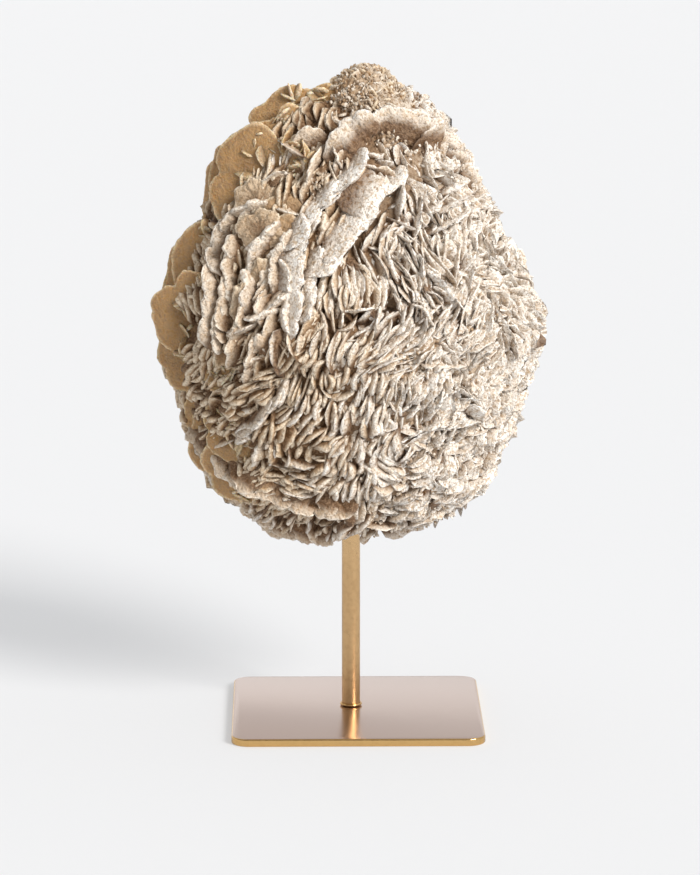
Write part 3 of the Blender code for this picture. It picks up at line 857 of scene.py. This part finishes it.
# Small odd blades cross the books here and there.
odd_blades = []
for seat in spread_seats(2400, 94, 328, -180, 180):
    odd_blades.append(set_blade(fine_shapes, seat, turned(seat, grain_at(seat), draw.gauss(0, 50)),
                                draw.uniform(7, 14), draw.uniform(-6.0, -1.5), draw.uniform(1.8, 3.2),
                                draw.gauss(0, 24), dust_at(seat), 0.0, shade_at(seat)))
join_in_parts("odd_leaves_", "ab", odd_blades, 1.7, 1.3)

# A crust of little scales fills the gaps of the front, half buried.
crust_blades = []
for seat in spread_seats(3200, 95, 326, -105, 105):
    crust_blades.append(set_blade(scale_shapes, seat, turned(seat, grain_at(seat), draw.gauss(0, 60)),
                                  draw.uniform(4, 9), draw.uniform(-7.5, -3.5), draw.uniform(1.6, 3.4),
                                  draw.gauss(0, 35), dust_at(seat), 0.0, 0.9 * shade_at(seat)))
crust_scales = join_blades("crust_scales", crust_blades)
finish_rose_piece(crust_scales, leaf_finish)

# ---- The crown and the loose sand ------------------------------------------
# The very top is a knob of bound sand with only small scales in it. Its grains,
# and those caught between the petals, are quartz of about a millimetre.

CROWN = Vector((POST_LINE.x + 7.0, POST_LINE.y - 2.0, 311.0))
CROWN_REACH = Vector((21.0, 20.0, 22.0))


def on_crown(way, lift):
    """The point of the knob in a direction: a ball that is drawn down and out to the right."""
    low = max(0.0, 0.5 - way.z)
    drawn = Vector((way.x * (1.0 + 0.4 * low) + 0.3 * low, way.y * (1.0 + 0.15 * low), way.z))
    return CROWN + drawn * CROWN_REACH * lift


bpy.ops.mesh.primitive_ico_sphere_add(subdivisions=6, radius=1.0)
crown = bpy.context.object
crown.name = "sand_crown"
bpy.ops.object.mode_set(mode="EDIT")
bpy.ops.object.mode_set(mode="OBJECT")
for vert in crown.data.vertices:
    vert.co = on_crown(vert.co, 1.0) * MM
shape_noise(crown, "swell", 13.0, 7.5)
shape_noise(crown, "pits", 3.0, 4.2, hard=True)
shape_noise(crown, "grit", 1.2, 1.2)
bpy.ops.object.shade_smooth()
crown_size = len(crown.data.vertices)
mark(crown.data, "rim", [0.2] * crown_size)
mark(crown.data, "rise", [0.6] * crown_size)
mark(crown.data, "dust", [clamp(0.45 + (vert.co.x / MM - CROWN.x) / 50.0, 0.1, 0.9)
                          for vert in crown.data.vertices])
crown_finish = sandy_material(
    "crown_sand", (0.17, 0.085, 0.035), (0.42, 0.29, 0.175), (0.84, 0.77, 0.67), 2.2)
finish_rose_piece(crown, crown_finish)

bpy.ops.mesh.primitive_ico_sphere_add(subdivisions=1, radius=1.0)
grain_shape = bpy.context.object
bpy.ops.object.mode_set(mode="EDIT")
bpy.ops.transform.vertex_random(offset=0.3, uniform=1.0, normal=0.0, seed=3)
bpy.ops.object.mode_set(mode="OBJECT")


def any_way():
    """A random direction."""
    return Vector((draw.gauss(0, 1), draw.gauss(0, 1), draw.gauss(0, 1))).normalized()


def crown_way():
    """A random direction out of the knob, seldom downwards."""
    way = any_way()
    way.z = abs(way.z) if way.z < -0.3 else way.z
    return way


def set_grain(place, size, pale):
    """Copy a sand grain to a place, turned any way."""
    grain = grain_shape.copy()
    grain.data = grain_shape.data.copy()
    turn = any_way().to_track_quat("Z", "Y").to_matrix().to_4x4()
    stretch = Matrix.Diagonal((size * 0.6, size * 0.8, size * draw.uniform(0.8, 1.6), 1.0))
    grain.data.transform(Matrix.Scale(MM, 4) @ Matrix.Translation(place) @ turn @ stretch)
    count = len(grain.data.vertices)
    mark(grain.data, "rim", [pale] * count)
    mark(grain.data, "rise", [0.9] * count)
    mark(grain.data, "dust", [pale] * count)
    bpy.context.scene.collection.objects.link(grain)
    return grain


crown_bits = []
for step in range(260):
    way = crown_way()
    along = way.cross(any_way()).normalized()
    size = draw.uniform(4.0, 9.0)
    spot = on_crown(way, 1.0) + way * draw.uniform(-0.5, 1.4) - way * size / 2
    crown_bits.append(place_blade(fine_shapes, spot, along, way, size, size / 2, draw.uniform(1.2, 2.2),
                                  draw.uniform(0.0, 0.7)))
for step in range(900):
    way = crown_way()
    crown_bits.append(set_grain(on_crown(way, draw.uniform(0.95, 1.0)), draw.uniform(0.5, 1.0),
                                draw.uniform(0.0, 1.0)))
SAND_PATCHES = [
    (0, 294, 9), (16, 291, 8), (-18, 270, 9), (-8, 312, 9), (28, 288, 8), (46, 286, 7), (-30, 240, 6),
    (20, 114, 14), (10, 100, 12), (30, 100, 12), (50, 108, 10), (8, 116, 8), (60, 160, 12), (66, 200, 10),
    (40, 140, 12), (30, 176, 12),
]
for x, z, reach in SAND_PATCHES:
    for _ in range(int(reach * 6)):
        seat = seen_from_front(x + draw.gauss(0, 0.5) * reach, z + draw.gauss(0, 0.5) * reach)
        if seat[1] > 98:
            crown_bits.append(set_grain(on_rose(*seat, draw.uniform(4.0, 7.5)), draw.uniform(0.5, 1.2),
                                        draw.uniform(0.2, 1.0)))
sand_grains = join_blades("sand_grains", crown_bits)
finish_rose_piece(sand_grains, crown_finish)
bpy.data.objects.remove(grain_shape)

for shape in fine_shapes + scale_shapes + leaf_shapes + petal_shapes + plate_shapes:
    bpy.data.objects.remove(shape)


# ---- The stand -------------------------------------------------------------
# A brass rod that was gilded by hand over a hammered surface, brazed to a thick
# square plate of rose gilt metal with sanded edges, which carries the whole stone.

leaf_gilt, gilt_in, gilt_out = new_group(
    "leaf_gilt",
    [("Bright", "NodeSocketColor", (0.8, 0.6, 0.35, 1.0)),
     ("Worn", "NodeSocketColor", (0.4, 0.25, 0.1, 1.0)), ("Wear", "NodeSocketFloat", 0.5)],
    [("Color", "NodeSocketColor"), ("Roughness", "NodeSocketFloat"), ("Height", "NodeSocketFloat")])
gilt_spot = leaf_gilt.nodes.new("ShaderNodeTexCoord").outputs["Object"]
flakes = cloud(leaf_gilt, 3.0, 5.0, gilt_spot)
dents = cloud(leaf_gilt, 1.1, 3.0, gilt_spot)
worn_here = maths(leaf_gilt, "MULTIPLY", spread(leaf_gilt, flakes, 0.45, 0.65, 0.75, 1.0),
                  gilt_in.outputs["Wear"])
leaf_gilt.links.new(blend_colour(leaf_gilt, worn_here, gilt_in.outputs["Bright"], gilt_in.outputs["Worn"]),
                    gilt_out.inputs["Color"])
dulled = maths(leaf_gilt, "MULTIPLY", dents, gilt_in.outputs["Wear"])
leaf_gilt.links.new(spread(leaf_gilt, dulled, 0.0, 0.6, 0.12, 0.30), gilt_out.inputs["Roughness"])
leaf_gilt.links.new(maths(leaf_gilt, "ADD", maths(leaf_gilt, "MULTIPLY", flakes, 0.5),
                          maths(leaf_gilt, "MULTIPLY", dents, 0.5)), gilt_out.inputs["Height"])


def gilt_material(name, bright, worn, dent_height, satin=0.0):
    """A gilt metal from the group, its wear read from the piece's own marks."""
    material = bpy.data.materials.new(name)
    material.use_nodes = True
    tree = material.node_tree
    shader = tree.nodes["Principled BSDF"]
    look = tree.nodes.new("ShaderNodeGroup")
    look.node_tree = leaf_gilt
    look.inputs["Bright"].default_value = (*bright, 1.0)
    look.inputs["Worn"].default_value = (*worn, 1.0)
    reader = tree.nodes.new("ShaderNodeAttribute")
    reader.attribute_name = "wear"
    tree.links.new(reader.outputs["Fac"], look.inputs["Wear"])
    bump = tree.nodes.new("ShaderNodeBump")
    bump.inputs["Distance"].default_value = dent_height * MM
    tree.links.new(look.outputs["Color"], shader.inputs["Base Color"])
    tree.links.new(maths(tree, "ADD", look.outputs["Roughness"], satin), shader.inputs["Roughness"])
    tree.links.new(look.outputs["Height"], bump.inputs["Height"])
    tree.links.new(bump.outputs["Normal"], shader.inputs["Normal"])
    shader.inputs["Metallic"].default_value = 1.0
    return material


post_radius = (post_high[0] - post_low[0]) / 2
bpy.ops.mesh.primitive_cylinder_add(
    vertices=64, radius=post_radius - 0.0001, depth=post_high[2] - post_low[2],
    location=(POST_LINE.x * MM, POST_LINE.y * MM, (post_low[2] + post_high[2]) / 2))
rod = bpy.context.object
rod.name = "gilt_rod"
bpy.ops.object.transform_apply(location=True, rotation=True, scale=True)
bpy.ops.object.mode_set(mode="EDIT")
bpy.ops.mesh.select_all(action="SELECT")
bpy.ops.mesh.bevel(offset=0.0005, segments=3)
bpy.ops.mesh.select_all(action="DESELECT")
bpy.ops.object.mode_set(mode="OBJECT")
ring_step = 0.0015
level = post_low[2] + 0.002
while level < post_high[2] - 0.002:
    bpy.ops.object.mode_set(mode="EDIT")
    bpy.ops.mesh.select_all(action="SELECT")
    bpy.ops.mesh.bisect(plane_co=(0.0, 0.0, level), plane_no=(0.0, 0.0, 1.0))
    bpy.ops.object.mode_set(mode="OBJECT")
    level += ring_step
shape_noise(rod, "hammering", 4.5, 0.12)
bpy.ops.object.shade_smooth_by_angle(angle=math.radians(50))
worn_below = post_low[2] + 0.105
mark(rod.data, "wear", [0.05 + 0.35 * clamp((worn_below - vert.co.z) / 0.04, 0.0, 1.0)
                        for vert in rod.data.vertices])
rod.data.materials.append(gilt_material("gilt_post", (0.74, 0.50, 0.26), (0.27, 0.13, 0.04), 0.12, 0.14))
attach(rod, "root")
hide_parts("post")

bead_low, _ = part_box("foot_bead")
bpy.ops.mesh.primitive_torus_add(
    major_segments=96, minor_segments=16, major_radius=post_radius + 0.0003, minor_radius=0.0006,
    location=(POST_LINE.x * MM, POST_LINE.y * MM, bead_low[2] + 0.0006))
bead = bpy.context.object
bead.name = "brazed_bead"
bpy.ops.object.transform_apply(location=True, rotation=True, scale=True)
shape_noise(bead, "runs", 2.6, 0.3)
bpy.ops.object.shade_smooth()
mark(bead.data, "wear", [0.3] * len(bead.data.vertices))
bead.data.materials.append(gilt_material("braze", (0.72, 0.46, 0.20), (0.54, 0.31, 0.11), 0.1, 0.1))
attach(bead, "root")
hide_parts("foot_bead")

plate_low, plate_high = (Vector(corner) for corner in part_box("base_plate"))
plate_size = plate_high - plate_low
CORNER_RADIUS = 0.009
EDGE_BREAK = 0.0009
bpy.ops.mesh.primitive_cube_add(size=1.0, location=(plate_low + plate_high) / 2)
slab = bpy.context.object
slab.name = "gilt_slab"
slab.scale = plate_size
bpy.ops.object.transform_apply(location=True, rotation=True, scale=True)
bpy.ops.object.mode_set(mode="EDIT")
bpy.ops.mesh.select_all(action="DESELECT")
bpy.ops.object.mode_set(mode="OBJECT")
for edge in slab.data.edges:
    first, second = (slab.data.vertices[end].co for end in edge.vertices)
    edge.select = abs(first.z - second.z) > 0.001
bpy.ops.object.mode_set(mode="EDIT")
bpy.ops.mesh.bevel(offset=CORNER_RADIUS, segments=14)
bpy.ops.object.mode_set(mode="OBJECT")
for edge in slab.data.edges:
    first, second = (slab.data.vertices[end].co for end in edge.vertices)
    edge.select = abs(first.z - second.z) < 0.0001
bpy.ops.object.mode_set(mode="EDIT")
bpy.ops.mesh.bevel(offset=EDGE_BREAK, segments=4)
bpy.ops.object.mode_set(mode="OBJECT")
bpy.ops.object.shade_smooth_by_angle(angle=math.radians(50))
mark(slab.data, "wear", [0.5 if v.co.z < plate_high.z - 0.00012 else 0.0 for v in slab.data.vertices])
rose_gilt = (0.595, 0.45, 0.38)
slab.data.materials.append(gilt_material("gilt_plate", rose_gilt, rose_gilt, 0.02, 0.08))
slab.data.materials.append(gilt_material("gilt_edge", (0.74, 0.48, 0.20), (0.55, 0.33, 0.12), 0.15))
for face in slab.data.polygons:
    face.material_index = 0 if face.center.z > plate_high.z - 0.0001 else 1
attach(slab, "root")
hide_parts("base_plate")
